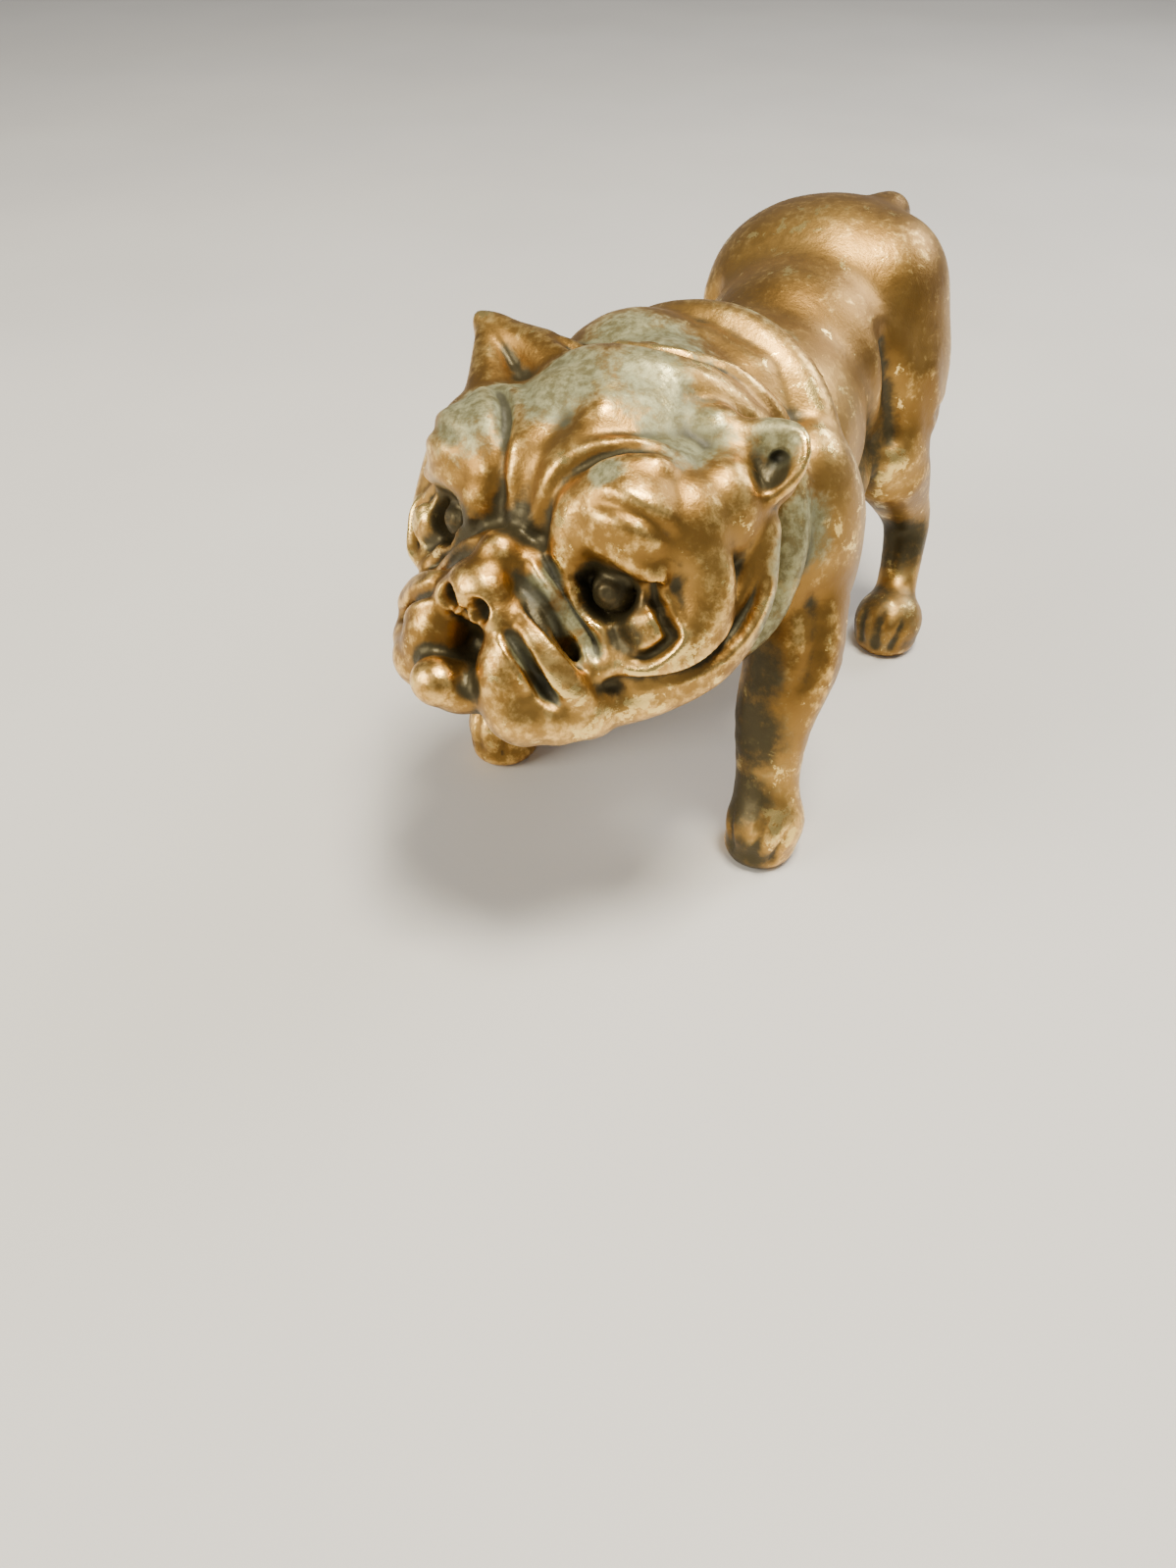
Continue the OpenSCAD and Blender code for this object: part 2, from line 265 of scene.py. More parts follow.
class Skin:
    """The surface being tooled: its points, their normals and the edges between them."""

    def __init__(self, obj):
        self.obj = obj
        mesh = obj.data
        count = len(mesh.vertices)
        self.points = np.empty(count * 3)
        mesh.vertices.foreach_get("co", self.points)
        self.points = self.points.reshape(-1, 3)
        self.edges = np.empty(len(mesh.edges) * 2, int)
        mesh.edges.foreach_get("vertices", self.edges)
        self.edges = self.edges.reshape(-1, 2)
        self.degree = np.bincount(self.edges.ravel(), minlength=count)[:, None].clip(1)
        self.settle()

    def settle(self):
        mesh = self.obj.data
        mesh.vertices.foreach_set("co", self.points.ravel())
        mesh.update()
        self.normals = np.empty(len(mesh.vertices) * 3)
        mesh.vertices.foreach_get("normal", self.normals)
        self.normals = self.normals.reshape(-1, 3)
        self.tree = BVHTree.FromObject(self.obj, bpy.context.evaluated_depsgraph_get())

    def averaged(self, values, times):
        a, b = self.edges.T
        for _ in range(times):
            total = np.zeros_like(values)
            for k in range(values.shape[1]):
                total[:, k] = (np.bincount(a, values[b, k], len(values))
                               + np.bincount(b, values[a, k], len(values)))
            values = 0.5 * values + 0.5 * total / self.degree
        return values

    def smooth(self, times):
        self.points = self.averaged(self.points, times)
        self.settle()

    def tool(self, path, width, depth, kind="groove"):
        """Runs a tool along a path on the skin: groove presses in with a lip on each side, ridge pushes out."""
        taper = 0.25
        ends = [self.tree.find_nearest(Vector(p)) for p in curve_through(path, 0.6)]
        line = np.array([e[0] for e in ends])
        ups = np.array([e[1] for e in ends])
        near = np.flatnonzero(((self.points > line.min(0) - 4 * width)
                               & (self.points < line.max(0) + 4 * width)).all(1))
        if len(near) == 0:
            return
        start, run = line[:-1], line[1:] - line[:-1]
        length = (run ** 2).sum(1).clip(1e-9)
        offset = self.points[near][:, None] - start
        t = ((offset * run).sum(2) / length).clip(0, 1)
        gap = offset - t[..., None] * run
        square = (gap ** 2).sum(2)
        best = square.argmin(1)
        row = np.arange(len(near))
        r = np.sqrt(square[row, best])
        along = (best + t[row, best]) / len(run)
        up = ups[best]
        fade = (np.minimum(along, 1 - along) / taper).clip(0, 1)
        fade = fade * fade * (3 - 2 * fade)
        facing = ((self.normals[near] * up).sum(1) * 2 + 0.4).clip(0, 1)
        if kind == "groove":
            push = -np.exp(-(r / width) ** 2) + 0.3 * np.exp(-((r - 2 * width) / width) ** 2)
        else:
            push = np.exp(-(r / width) ** 2)
        self.points[near] += (depth * push * fade * facing)[:, None] * self.normals[near]

    def pit(self, at, radius, depth, into):
        into = Vector(into).normalized()
        hit = self.tree.find_nearest(Vector(at))[0]
        away = self.points - np.array(hit)
        r = np.linalg.norm(away, axis=1)
        near = r < radius
        self.points[near] += np.array(into) * (depth * (1 - (r[near] / radius) ** 2) ** 2)[:, None]


def cut(obj, point, normal, keep_front):
    """Saws the figure flat at a plane and closes the cut."""
    mesh = bmesh.new()
    mesh.from_mesh(obj.data)
    found = bmesh.ops.bisect_plane(mesh, geom=mesh.verts[:] + mesh.edges[:] + mesh.faces[:], plane_co=point,
                                   plane_no=normal, clear_outer=not keep_front, clear_inner=keep_front)
    edges = [e for e in found["geom_cut"] if isinstance(e, bmesh.types.BMEdge)]
    bmesh.ops.holes_fill(mesh, edges=edges, sides=0)
    bmesh.ops.triangulate(mesh, faces=[f for f in mesh.faces if len(f.verts) > 4])
    mesh.to_mesh(obj.data)
    mesh.free()
    obj.data.update()


ahead = (head_pose.to_3x3() @ Vector((0, -1, 0))).normalized()
joint_at = head_pose @ Vector((0, joint_back, 0))


def tool_neck(skin):
    """The groove between the neck rolls, which crosses the joint."""
    skin.tool([(-20, -36, 78), (-12, -38, 83), (0, -38.5, 85), (8, -34.5, 82.5), (14, -30.5, 78)], 1.0, 1.2)


def tool_body(skin):
    for side in sides:
        # Shoulder blade, elbow and the crease behind the fore leg
        skin.tool([(side * 26, -14, 66), (side * 28, -12, 54), (side * 27, -16, 42), (side * 24, -19, 34)], 2.2, 1.3)
        skin.tool([(side * 27, -33, 52), (side * 29, -34, 42), (side * 29, -38, 32)], 1.8, 0.9)
        # Flank, thigh and the knee's crease
        skin.tool([(side * 19, 22, 76), (side * 22, 22, 64), (side * 21, 24, 52), (side * 20, 27, 44)], 2.6, 1.8)
        skin.tool([(side * 24, 34, 52), (side * 26, 40, 50), (side * 25, 46, 50)], 1.2, 0.8)
        skin.tool([(side * 25, 30, 66), (side * 26, 34, 56), (side * 27, 36, 46)], 3, 0.8, "ridge")
        # Toes
        for x in (-2.6, 0, 2.6):
            skin.tool([(side * fore_stance + x, fore_y - 7, 9), (side * fore_stance + x * 1.3, fore_y - 10.6, 5.5),
                       (side * fore_stance + x * 1.4, fore_y - 11.4, 1.5)], 0.7, 0.6)
            skin.tool([(side * hind_stance + x, hind_y - 8, 9), (side * hind_stance + x * 1.3, hind_y - 11.4, 5.5),
                       (side * hind_stance + x * 1.4, hind_y - 12.2, 1.5)], 0.7, 0.6)


def whole_figure(grain):
    clay = bmesh.new()
    make_torso(clay)
    make_limbs(clay)
    make_neck_rolls(clay)
    make_head(clay)
    return fuse(clay, "figure", grain)


def eye(skin, at, out, radius):
    """Sinks a socket and sets an eyeball in it, with the ring of the iris cut round the pupil."""
    centre = np.array(head_pose @ Vector(at))
    out = np.array((head_pose.to_3x3() @ Vector(out)).normalized())
    rel = skin.points - centre
    high = rel @ out
    wide = np.linalg.norm(rel - high[:, None] * out, axis=1)
    near = (wide < 2 * radius) & (np.abs(high) < 3 * radius)
    rho = wide[near] / radius
    ball = np.sqrt((1 - rho ** 2).clip(0, 1)) * radius
    ball -= 0.3 * np.exp(-((rho - 0.62) / 0.1) ** 2) + 0.4 * np.exp(-(rho / 0.2) ** 2)
    rim = ((rho - 1) / 0.5).clip(0, 1)
    rim = rim * rim * (3 - 2 * rim)
    new = np.where(rho < 1, ball, (1 - rim) * (-0.1 * radius) + rim * high[near])
    # The brow keeps its overhang above the ball, as an eyelid
    above = rel[near] @ np.array(head_pose.to_3x3() @ Vector((0, 0, 1))) / radius
    lid = ((above - 0.35) / 0.5).clip(0, 1)
    lid = lid * lid * (3 - 2 * lid)
    skin.points[near] += ((1 - lid) * (new - high[near]))[:, None] * out


def tool_head(skin):
    def turned(direction):
        return head_pose.to_3x3() @ Vector(direction)

    def line(path, width, depth):
        skin.tool([head_pose @ Vector(p) for p in path], width, depth)

    def run(path, width, depth):
        for side in sides:
            line(mirrored(path, side), width, depth)

    # Furrow of the brow, and the creases over and under the arched wrinkle
    line([(0, -18, 0.5), (0, -17.5, 7), (0, -13, 13), (0, -5, 18)], 2.4, 1.0)
    run([(5, -17, -1), (4.4, -16.8, 4), (5.8, -15, 9.5), (10, -11, 13.2), (15, -8.5, 13.8), (19.5, -7, 12)], 1.0, 0.6)
    run([(11, -18.5, 8.6), (16, -17, 8.8), (20, -13.5, 7.4), (22.5, -10.5, 4.6)], 1.1, 0.6)
    # From the inner corner of the eye down between the muzzle and the cheek
    run([(4.5, -18, 0.5), (7, -17.5, -2.4), (11, -16.5, -6.4), (15.5, -15.5, -10.5), (18.6, -15, -14.5)], 0.9, 1.5)
    run([(6.2, -21, -6), (10, -20.5, -8), (14, -19, -11), (17.6, -17, -15)], 0.7, 0.9)
    run([(5.5, -23, -11), (9, -23, -13.4), (12.6, -21.4, -16.8), (16.2, -19, -20.4)], 0.9, 1.5)
    # Round the bag, and inside the ridge of the cheek
    run([(19.5, -15, -2), (24, -13, -2.6), (26, -12, -6.4), (24, -13.5, -10), (20.5, -15.5, -11.4)], 0.8, 1.5)
    run([(28, 3, 4), (30.2, 0, -2), (29.6, -4, -8.4), (26, -10, -13.2), (21, -14, -16), (17.5, -15, -17)], 1.0, 1.4)
    # The lip's cleft, the mouth and the jaw
    line([(0, -28, -11), (0, -27, -13), (0, -26, -15)], 0.8, 1.4)
    run([(20, -14, -24), (14, -18, -26), (8, -22, -26.5)], 1.0, 0.8)
    for side in sides:
        # The ear's hollow opens outwards and runs down to the cheek
        for x, y, z, r, depth in ((26, 2.5, 16.6, 2.2, 2.2), (25.7, 2.2, 15.3, 2.1, 1.8), (25.2, 1.9, 14, 2, 1.6),
                                  (24.6, 1.5, 12.8, 1.8, 1.4), (23.8, 1, 11.4, 1.6, 1.2)):
            if side > 0:
                skin.pit(head_pose @ Vector((x, y, z)), r, depth, turned((-0.5, 0.8, 0.1)))
            else:
                skin.pit(head_pose @ Vector((-x - 5, y + 4, z)), r, depth * 0.6, turned((1, 0, -0.2)))
        eye(skin, (side * 14.8, -11.6, -4.1), (side * 0.3, -0.92, 0.08), 3.1)
        # Nostrils
        skin.pit(head_pose @ Vector((side * 3, -27.5, -10.2)), 2.5, 3.6, turned((side * 0.1, 1, 0.15)))


def smooth_back(skin, grain):
    """Works the back and the flanks smoother than the rest, but leaves the tail alone."""
    reach = 3.4
    tail_at = (3.5, 58, 79)
    tail_r = 8
    soft = skin.averaged(skin.points, int(4 * (reach / grain) ** 2))
    x, y, z = skin.points.T
    worked = ((y + 14) / 12).clip(0, 1) * ((z - 38) / 14).clip(0, 1)
    worked *= 1 - np.exp(-(np.linalg.norm(skin.points - tail_at, axis=1) / tail_r) ** 4)
    skin.points += worked[:, None] * (soft - skin.points)


figure_grain = 0.7
figure = whole_figure(figure_grain)
skin = Skin(figure)
smooth_back(skin, figure_grain)
skin.smooth(4)


# Body casting: hollow cast metal with its four legs, the neck rolls and the docked tail. The coin slot crosses the
# back, the trap's seat is turned in a flat pad under the belly, and a ring on the neck enters the head.
# Its copper plate has gone brown, is rubbed to gold where it stands proud, and holds patina and grime. Painted shade
# darkens its creases, the insides of its legs and its underside, and painted highlights fleck it.
body_grain = 0.78
hollow_grain = 1.5
spare = 6
skin_depth = 1
under_belly = 20
pad_r = 22.5
pad_z = 36
floor_z = 39.5
seat_r = 19.05
seat_top = 37.2
trap_hole_r = 13.6
hole_top = 43
screw_circle_r = 16.6
screw_hole_r = 1.05
cam_room_r = 9.4
cam_room_top = 43.5
cam_room_y = -1.2
slot_length = 30
slot_width = 3.2
slot_y = -7
slot_bottom = 62
slot_top = 92
ring_r = 13
ring_bore_r = 10.5
ring_length = 4
bore_back = 9
cavity_back = 3


def half_of(figure, name, front, grain):
    """Takes the head or the body from the figure, with some spare beyond the joint, and gives it its own grain."""
    obj = bpy.data.objects.new(name, figure.data.copy())
    bpy.context.scene.collection.objects.link(obj)
    cut(obj, joint_at + ahead * (-spare if front else spare), ahead, front)
    return refine(obj, grain)


def carve(obj, build, how="DIFFERENCE"):
    """Cuts a shape out of a casting, or joins one to it."""
    if callable(build):
        clay = bmesh.new()
        build(clay)
        mesh = bpy.data.meshes.new("cutter")
        clay.to_mesh(mesh)
        clay.free()
        cutter = bpy.data.objects.new("cutter", mesh)
        bpy.context.scene.collection.objects.link(cutter)
    else:
        cutter = build
    change = obj.modifiers.new("carve", "BOOLEAN")
    change.solver = "MANIFOLD"
    change.operation = how
    change.object = cutter
    obj.data = shape_of(obj)
    obj.modifiers.clear()
    bpy.data.objects.remove(cutter)


def bar(clay, r, low, high, at=(0, 0), pose=Matrix()):
    """A round bar from one level to another."""
    place = pose @ Matrix.Translation((*at, (low + high) / 2))
    bmesh.ops.create_cone(clay, cap_ends=True, segments=96, radius1=r, radius2=r, depth=high - low, matrix=place)


def block(clay, low, high):
    middle = (Vector(low) + Vector(high)) / 2
    size = Vector(high) - Vector(low)
    bmesh.ops.create_cube(clay, size=1, matrix=Matrix.Translation(middle) @ Matrix.Diagonal((*size, 1)))


class Paint:
    """A material built up in layers."""

    def __init__(self, name):
        self.material = bpy.data.materials.new(name)
        self.material.use_nodes = True
        self.tree = self.material.node_tree
        self.shader = self.tree.nodes["Principled BSDF"]
        self.coords = self.tree.nodes.new("ShaderNodeTexCoord").outputs["Object"]

    def add(self, kind, settings=(), **inputs):
        node = self.tree.nodes.new("ShaderNode" + kind)
        for key, value in dict(settings).items():
            setattr(node, key, value)
        for key, value in inputs.items():
            socket = node.inputs[int(key[1:])] if key[0] == "i" and key[1:].isdigit() else node.inputs[key]
            self.put(socket, value)
        return node

    def put(self, socket, value):
        if isinstance(value, bpy.types.NodeSocket):
            self.tree.links.new(value, socket)
        else:
            socket.default_value = value

    def noise(self, scale, detail=4, rough=0.55, twist=0):
        return self.add("TexNoise", Vector=self.coords, Scale=scale, Detail=detail, Roughness=rough,
                        Distortion=twist).outputs["Fac"]

    def mark(self, name):
        return self.add("Attribute", {"attribute_name": name}).outputs["Fac"]

    def sum(self, *terms):
        """Adds up terms, each a value or a (value, factor) pair."""
        total = None
        for term in terms:
            value, factor = term if isinstance(term, tuple) else (term, 1)
            if isinstance(value, bpy.types.NodeSocket):
                add = 0 if total is None else total
                total = self.add("Math", {"operation": "MULTIPLY_ADD"}, i0=value, i1=factor, i2=add).outputs[0]
            else:
                total = self.add("Math", {"operation": "ADD"}, i0=total, i1=value * factor).outputs[0]
        return total

    def step(self, value, low, high, to=(0, 1)):
        return self.add("MapRange", {"interpolation_type": "SMOOTHSTEP"}, Value=value, i1=low, i2=high, i3=to[0],
                        i4=to[1]).outputs[0]

    def blend(self, factor, a, b):
        colour = [(*c, 1) if isinstance(c, tuple) else c for c in (a, b)]
        return self.add("Mix", {"data_type": "RGBA"}, i0=factor, i6=colour[0], i7=colour[1]).outputs[2]

    def bump(self, height, distance, strength=1, under=None):
        node = self.add("Bump", Height=height, Distance=distance, Strength=strength)
        if under is not None:
            self.put(node.inputs["Normal"], under)
        return node.outputs["Normal"]

    def finish(self, colour, metallic, roughness, normal):
        self.put(self.shader.inputs["Base Color"], colour)
        self.put(self.shader.inputs["Metallic"], metallic)
        self.put(self.shader.inputs["Roughness"], roughness)
        self.put(self.shader.inputs["Normal"], normal)
        return self.material


def coppered_metal():
    p = Paint("coppered metal")
    cloud, blot, fleck, grain = p.noise(38, 4), p.noise(150, 6, 0.62, 0.4), p.noise(620, 5, 0.65), p.noise(2400, 3)
    fine, broad = p.mark("fine"), p.mark("broad")
    brown = p.blend(p.step(cloud, 0.38, 0.62), (0.27, 0.145, 0.036), (0.45, 0.26, 0.07))
    brown = p.blend(p.step(fleck, 0.5, 0.8, (0, 0.35)), brown, (0.17, 0.09, 0.026))
    gold = p.blend(p.step(fleck, 0.35, 0.65), (0.60, 0.34, 0.09), (0.94, 0.61, 0.19))
    rubbed = p.step(p.sum((fine, 2.4), (broad, 0.7), (blot, 1.3), (fleck, 2.2), (cloud, 1.0), -2.3), 0.1, 1.0)
    colour = p.blend(rubbed, brown, gold)
    # Small flecks of bare metal, painted a very bright gold that also stands for speckled highlights: partly wear,
    # partly painted highlight.
    bare_and_glint_noise = p.noise(240, 9, 0.72, 0.3)
    bare_and_glint = p.step(p.sum(bare_and_glint_noise, (cloud, 0.45), (fine, 0.22), (broad, 0.05)), 0.845, 0.875)
    colour = p.blend(bare_and_glint, colour, (1.0, 0.71, 0.23))
    green = p.blend(p.step(fleck, 0.35, 0.68), (0.12, 0.125, 0.06), (0.32, 0.34, 0.195))
    dulled = p.step(p.sum(p.mark("patina"), (blot, 1.1), (fleck, 0.7), (fine, -0.8), -0.95), 0.3, 0.85, (0, 0.85))
    colour = p.blend(dulled, colour, green)
    # Grime mixed with painted shade: a dark olive black laid in the creases and hollows and over the spotted places
    # round the eyes, nose and mouth, inside the legs and under the belly and chin, with less metal shine there.
    dirt_and_shade = p.step(p.sum((p.mark("grime_and_shade"), 0.8), (fine, -2.3), (broad, -0.5), (blot, 0.6), (fleck, 0.7), -0.6),
                  0.15, 0.75, (0, 0.94))
    colour = p.blend(dirt_and_shade, colour, (0.042, 0.038, 0.018))
    colour = p.blend(p.mark("inside"), colour, (0.085, 0.065, 0.05))
    metallic = p.sum((dulled, -0.5), (dirt_and_shade, -0.35), (p.mark("inside"), -0.4), 1)
    roughness = p.sum((rubbed, -0.1), (dulled, 0.14), (dirt_and_shade, 0.03), (fleck, 0.2), (bare_and_glint, -0.12),
                      (p.mark("inside"), 0.3), 0.31)
    normal = p.bump(fleck, 0.0002, 0.35)
    normal = p.bump(grain, 0.00006, 0.5, normal)
    normal = p.bump(blot, 0.0007, 0.22, normal)
    return p.finish(colour, metallic, roughness, normal)


copper = coppered_metal()


def paint_relief(skin, grain, patina, grime_and_shade):
    """Measures how far each point stands proud of its surroundings, where patina lies, and where grime and painted
    shade lie.
    """
    def relief(scale):
        flat = skin.averaged(skin.points, max(1, int(4 * (scale / grain) ** 2)))
        return ((skin.points - flat) * skin.normals).sum(1)

    def spots(places):
        amount = np.zeros(len(skin.points))
        for x, y, z, r in places:
            away = np.linalg.norm(skin.points - (x, y, z), axis=1) / r
            amount = np.maximum(amount, np.exp(-away ** 4))
        return amount

    skin.settle()
    dirt_and_shade = spots(grime_and_shade)
    # The spots of grime and painted shade also flatten the measured relief where they lie.
    free_of_dirt_and_shade = 1 - 0.8 * dirt_and_shade
    return {"fine": relief(0.8) * free_of_dirt_and_shade, "broad": relief(2.6) * free_of_dirt_and_shade, "patina": spots(patina), "grime_and_shade": dirt_and_shade}


def finish_casting(obj, skin, marks, name, node_name):
    """Carries the marks over to the finished casting, puts it in the frame's metres and gives it its finish."""
    tree = KDTree(len(skin.points))
    for i, p in enumerate(skin.points):
        tree.insert(p, i)
    tree.balance()
    found = [tree.find(v.co)[1:] for v in obj.data.vertices]
    index = np.array([f[0] for f in found])
    inside = np.array([f[1] for f in found]) > skin_depth
    for key, values in marks.items():
        values = np.where(inside, 0, values[index])
        obj.data.attributes.new(key, "FLOAT", "POINT").data.foreach_set("value", values)
    obj.data.attributes.new("inside", "FLOAT", "POINT").data.foreach_set("value", inside.astype(float))
    obj.data.transform(to_frame)
    obj.data.shade_smooth()
    obj.data.set_sharp_from_angle(angle=math.radians(50))
    obj.data.materials.clear()
    obj.data.materials.append(copper)
    obj.name = name
    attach(obj, "bank")
    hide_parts(node_name)


def local_spots(places):
    """Places given in the head's own frame, each with its radius, carried to the dog's frame."""
    return [(*(head_pose @ Vector((x, y, z))), r) for x, y, z, r in places]


def hollow_torso():
    """The cavity follows the torso, a wall's thickness inside it, and leaves a floor over the trap."""
    clay = bmesh.new()
    make_torso(clay, wall)
    hollow = fuse(clay, "hollow", hollow_grain)
    cut(hollow, joint_at - ahead * cavity_back, ahead, False)
    carve(hollow, lambda c: bar(c, pad_r, under_belly, floor_z, (0, trap_y)))
    return hollow


def ground_and_pad(clay):
    block(clay, (-60, -90, -20), (60, 90, 0))
    bar(clay, pad_r, under_belly, pad_z, (0, trap_y))


def trap_seat(clay):
    bar(clay, seat_r, pad_z - 1, seat_top, (0, trap_y))


def holes_and_slot(clay):
    bar(clay, trap_hole_r, seat_top - 0.1, hole_top, (0, trap_y))
    for quarter in range(4):
        turn = math.radians(45 + 90 * quarter)
        at = (screw_circle_r * math.cos(turn), trap_y + screw_circle_r * math.sin(turn))
        bar(clay, screw_hole_r, seat_top - 0.1, hole_top, at)
    block(clay, (-slot_length / 2, slot_y - slot_width / 2, slot_bottom),
          (slot_length / 2, slot_y + slot_width / 2, slot_top))


body = half_of(figure, "body", False, body_grain)
skin = Skin(body)
tool_neck(skin)
tool_body(skin)
skin.smooth(1)
# Patina spots, then spots of grime and painted shade: on the fore legs and paws, low on the hind legs, inside the
# thighs and under the belly.
marks = paint_relief(skin, body_grain,
                     [(-6, -36, 88, 16), (26, -40, 62, 11), (24, -44, 50, 8), (6, -6, 84, 10)],
                     [(21, -43, 25, 10), (21, -43, 37, 9), (-20, -40, 24, 14), (23, -46, 13, 8), (27, -49, 3, 7),
                      (25, 29, 6, 9), (-25, 29, 6, 9), (22, 40, 20, 9), (-22, 40, 20, 9), (17, 34, 36, 8),
                      (-17, 34, 36, 8), (27, 30, 6, 8), (0, trap_y, pad_z, 30)])
cut(body, joint_at, ahead, False)
carve(body, ground_and_pad)
ring_pose = head_pose @ Matrix.Rotation(math.radians(90), 4, "X")
carve(body, lambda c: bar(c, ring_r, -joint_back - 1, ring_length - joint_back, pose=ring_pose), "UNION")
carve(body, hollow_torso())
carve(body, lambda c: bar(c, ring_bore_r, -joint_back - bore_back, 2 * ring_length - joint_back, pose=ring_pose))
carve(body, lambda c: bar(c, cam_room_r, floor_z, cam_room_top, (0, cam_room_y)))
carve(body, trap_seat)
carve(body, holes_and_slot)
finish_casting(body, skin, marks, "body_cast", "body_casting")


# Head casting: hollow, cast in its own mould in the same coppered metal, with finer tooling for the face. Its round
# socket is slipped over the ring on the body's neck, and the joint is soldered from inside.
head_grain = 0.42
socket_r = 13.2
socket_depth = 6.5
socket_wall = 5.5
head = half_of(figure, "head", True, head_grain)
skin = Skin(head)
skin.smooth(1)
tool_neck(skin)
tool_head(skin)
skin.smooth(2)
# Patina spots, then spots of grime and painted shade: in the eye sockets, round the nose, muzzle and mouth, in the
# brow's furrow and the ear's hollow, and under the chin.
marks = paint_relief(skin, head_grain,
                     local_spots([(-14, -12, 12, 9), (-6, -6, 19, 10), (4, 0, 20, 9), (14, -2, 17, 8), (24, 6, 20, 5),
                                  (12, -15, 12, 3), (29, 10, 2, 8), (29, 8, -6, 8), (8, -19, -5, 3.4),
                                  (12, -17.5, -8.5, 3.4), (15.5, -15.5, -12, 3), (9, -23, -14, 3), (14, -20, -18, 3)]),
                     local_spots([(14.8, -14, -4.4, 5.2), (19.5, -13, -4, 3), (10, -14, -4, 3), (-14.9, -14, -4, 8),
                                  (20, -14, -8, 4), (3, -24, -8.8, 1.8), (-3, -24, -8.8, 1.8), (0, -26, -14, 2.6),
                                  (10, -20, -8, 4), (9, -22, -12, 2.6), (16, -16, -19, 3), (26, 3, 15, 3),
                                  (0, -18, 1, 4), (-10, -17, -4, 6), (4.5, -26, -20, 3), (-4.5, -26, -20, 3),
                                  (0, -20, -27, 8)]))
cut(head, joint_at, ahead, True)


def hollow_head():
    clay = bmesh.new()
    make_head(clay, wall)
    make_neck(clay, wall)
    hollow = fuse(clay, "hollow", hollow_grain)
    cut(hollow, joint_at + ahead * socket_wall, ahead, True)
    return hollow


carve(head, hollow_head())
carve(head, lambda c: bar(c, socket_r, -joint_back - 1, socket_depth - joint_back, pose=ring_pose))
finish_casting(head, skin, marks, "head_cast", "head_casting")
bpy.data.objects.remove(figure)


# Trap frame: a ring of sheet brass, turned and pressed to shape, with a hinge knuckle at each side of the door's
# own. It lies in the seat under the belly. Fine turning rings run round its middle.
def give(material, *names):
    for name in names:
        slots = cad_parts[name].data.materials
        slots.clear()
        slots.append(material)


def turned_brass(name, light, dark, centre, rings):
    p = Paint(name)
    from_middle = p.add("VectorMath", {"operation": "SUBTRACT"}, i0=p.coords, i1=centre).outputs[0]
    split = p.add("SeparateXYZ", Vector=from_middle)
    x, y = split.outputs[0], split.outputs[1]
    across = p.add("Math", {"operation": "MULTIPLY"}, i0=x, i1=x).outputs[0]
    radius = p.add("Math", {"operation": "SQRT"}, i0=p.add("Math", {"operation": "MULTIPLY_ADD"}, i0=y, i1=y,
                                                          i2=across).outputs[0]).outputs[0]
    ring = p.add("TexNoise", {"noise_dimensions": "1D"}, W=radius, Scale=rings, Detail=3).outputs["Fac"]
    stain, speck = p.noise(140, 5, 0.6), p.noise(1500, 3)
    colour = p.blend(p.step(stain, 0.42, 0.66), light, dark)
    colour = p.blend(p.step(speck, 0.6, 0.72, (0, 0.6)), colour, (0.09, 0.06, 0.03))
    rough = p.sum((ring, 0.16), (stain, 0.25), 0.16)
    return p.finish(colour, 1.0, rough, p.bump(speck, 0.00004, 0.4, p.bump(ring, 0.00004, 0.5)))


trap_centre = ((frame_low[0] + frame_high[0]) / 2, (frame_low[1] + frame_high[1]) / 2, 0)
give(turned_brass("frame brass", (0.60, 0.41, 0.15), (0.36, 0.23, 0.08), trap_centre, 2600), "trap_frame")


# Trap door: a round disc of sheet brass with the hinge's middle knuckle, turned like the frame and a little paler.
# It closes against the frame from below.
give(turned_brass("door brass", (0.66, 0.46, 0.18), (0.42, 0.28, 0.10), trap_centre, 1900), "trap_door")


# Frame screws: four countersunk brass screws with burred slots, evenly spaced round the frame.
# They hold it in its seat.
def screw_brass():
    p = Paint("screw brass")
    stain = p.noise(420, 4)
    colour = p.blend(p.step(stain, 0.4, 0.65), (0.70, 0.50, 0.21), (0.30, 0.18, 0.07))
    return p.finish(colour, 1.0, p.sum((stain, 0.3), 0.14), p.bump(p.noise(2600, 2), 0.00005, 0.5))


give(screw_brass(), "frame_screws")


# Lock barrel: a flanged brass barrel, turned from bar, so its rings run about the lock's own axis.
# It is pushed up through the door, and its nut clamps it from above.
barrel_low, barrel_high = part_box("lock_barrel")
lock_centre = ((barrel_low[0] + barrel_high[0]) / 2, (barrel_low[1] + barrel_high[1]) / 2, 0)
lock_brass = turned_brass("lock brass", (0.72, 0.54, 0.24), (0.46, 0.31, 0.12), lock_centre, 4200)
give(lock_brass, "lock_barrel")


# Lock nut: a thin six-sided nut in the same brass as the barrel, and faced in the lathe like it.
# It is threaded down on the barrel against the door's upper face.
give(lock_brass, "lock_nut")


# Hinge pin: plated mild steel wire with a little grey oxide.
# It is put through the three knuckles and peened over at both ends.
def plated_steel(name, light, dark, grain):
    p = Paint(name)
    bloom, scratch = p.noise(260, 5, 0.65), p.noise(grain, 3, 0.6, 0.6)
    colour = p.blend(p.step(bloom, 0.4, 0.68), light, dark)
    return p.finish(colour, 1.0, p.sum((bloom, 0.3), (scratch, 0.12), 0.12), p.bump(scratch, 0.00003, 0.5))


give(plated_steel("pin steel", (0.56, 0.55, 0.53), (0.27, 0.25, 0.22), 1800), "hinge_pin")


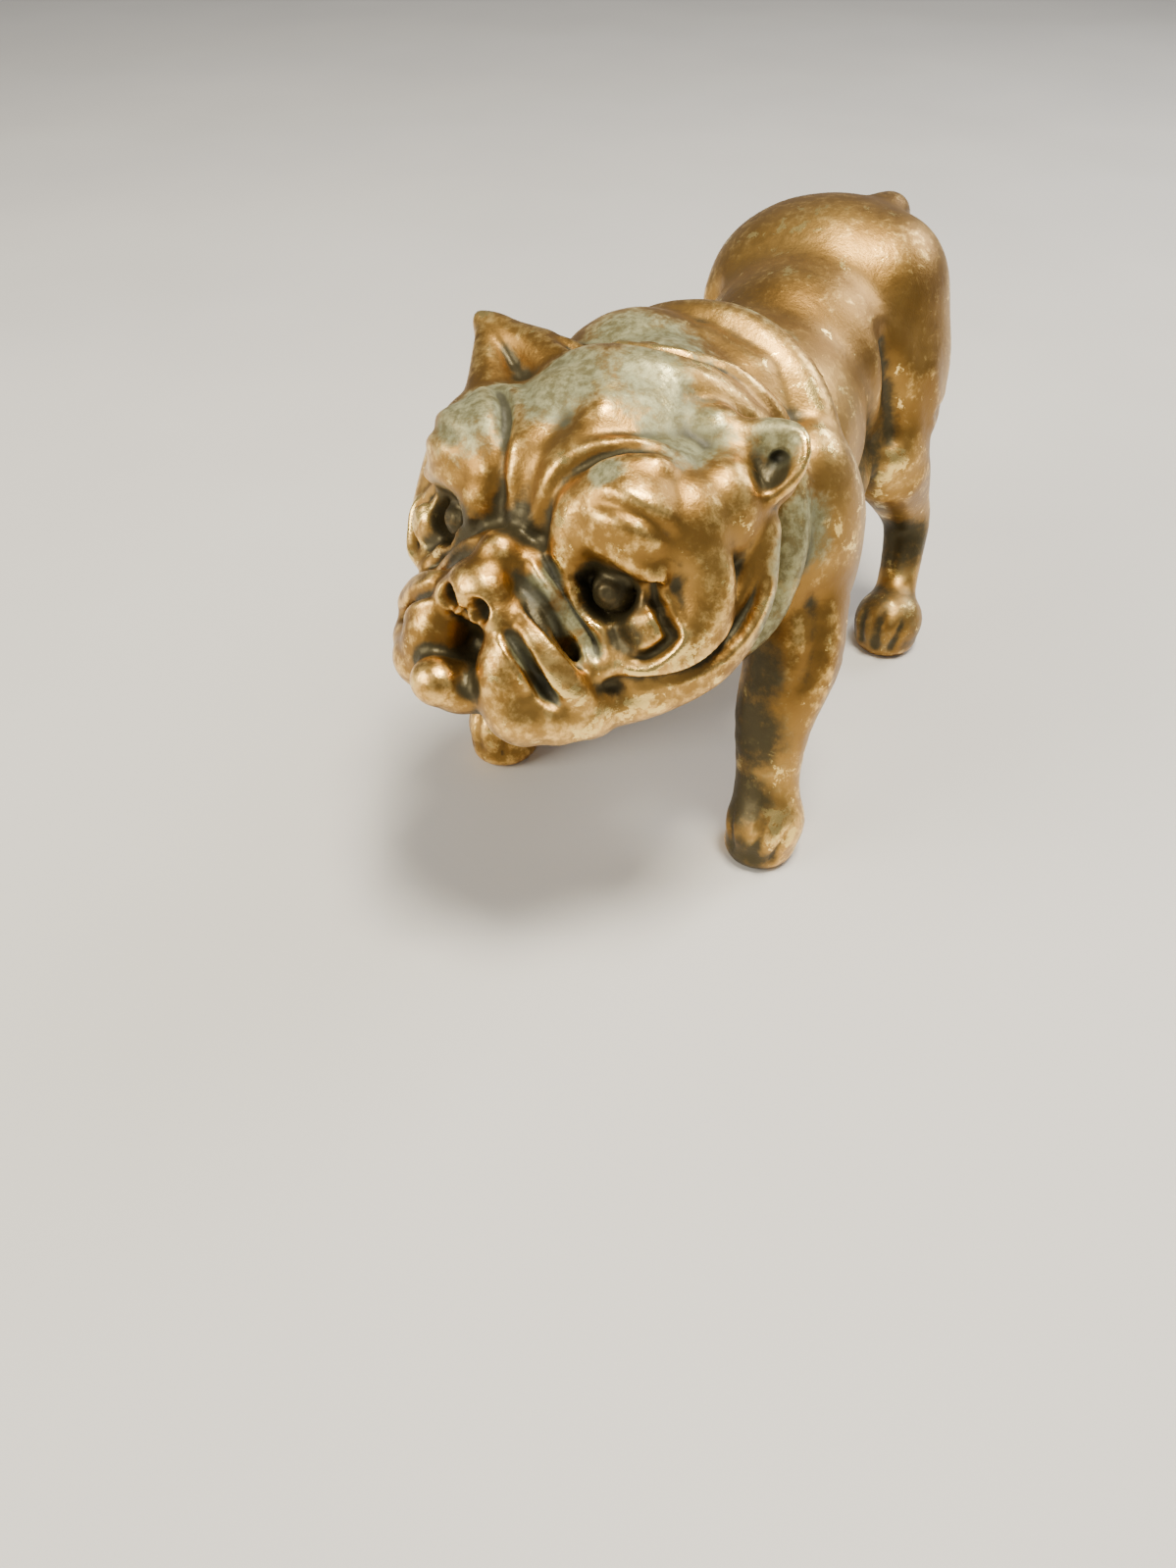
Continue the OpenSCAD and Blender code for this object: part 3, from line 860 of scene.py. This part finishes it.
# Lock plug: plated mild steel, the cleanest of the steel pieces, with a keyway cut in its face.
# It turns in the barrel.
give(plated_steel("plug steel", (0.66, 0.65, 0.62), (0.36, 0.34, 0.30), 2600), "lock_plug")


# Lock cam: a flat arm cut from plated mild steel, duller than the plug.
# It is fixed on the plug's inner end and turns with it.
cam_steel = plated_steel("cam steel", (0.58, 0.57, 0.52), (0.33, 0.30, 0.22), 1400)
give(cam_steel, "lock_cam")


# Cam screw: a small slotted screw, turned from the same steel as the cam.
# It is driven into the plug's end and holds the cam there.
give(cam_steel, "cam_screw")


# Neck solder: a dull grey fillet of tin and lead on the end of the body's ring, rippled where it ran.
# It holds the head on the body from inside.
def run_solder():
    p = Paint("solder")
    ripple, dull = p.noise(520, 3, 0.5, 1.2), p.noise(160, 4)
    colour = p.blend(p.step(dull, 0.35, 0.65), (0.42, 0.42, 0.41), (0.22, 0.21, 0.20))
    return p.finish(colour, 0.9, p.sum((dull, 0.3), 0.28), p.bump(ripple, 0.0002, 0.6))


give(run_solder(), "neck_solder")


# Floor: a plain pale table top
def pale_floor():
    mesh = bmesh.new()
    bmesh.ops.create_grid(mesh, x_segments=1, y_segments=1, size=4)
    data = bpy.data.meshes.new("floor")
    mesh.to_mesh(data)
    mesh.free()
    floor = bpy.data.objects.new("floor", data)
    bpy.context.scene.collection.objects.link(floor)
    p = Paint("pale floor")
    soft = p.noise(9, 3)
    data.materials.append(p.finish(p.blend(soft, (0.60, 0.58, 0.55), (0.66, 0.64, 0.61)), 0.0,
                                   p.step(soft, 0.3, 0.7, (0.5, 0.6)), p.bump(p.noise(700), 0.0001, 0.3)))


pale_floor()


# Studio light: a soft lamp overhead, a low warm one at the front and a weak one behind
def lamp(name, at, size, power, colour):
    data = bpy.data.lights.new(name, "AREA")
    data.size = size
    data.energy = power
    data.color = colour
    obj = bpy.data.objects.new(name, data)
    obj.location = at
    obj.rotation_euler = (Vector((0, 0, 0.05)) - Vector(at)).to_track_quat("-Z", "Y").to_euler()
    bpy.context.scene.collection.objects.link(obj)


lamp("overhead", (0.12, -0.02, 0.75), 0.22, 10, (1, 0.93, 0.78))
lamp("front", (-0.45, -0.55, 0.42), 0.45, 6.5, (1, 0.93, 0.78))
lamp("back", (0.35, 0.6, 0.5), 0.4, 4, (0.95, 0.97, 1))
world = bpy.data.worlds.new("studio")
world.use_nodes = True
world.node_tree.nodes["Background"].inputs["Color"].default_value = (0.75, 0.76, 0.78, 1)
world.node_tree.nodes["Background"].inputs["Strength"].default_value = 0.38
bpy.context.scene.world = world
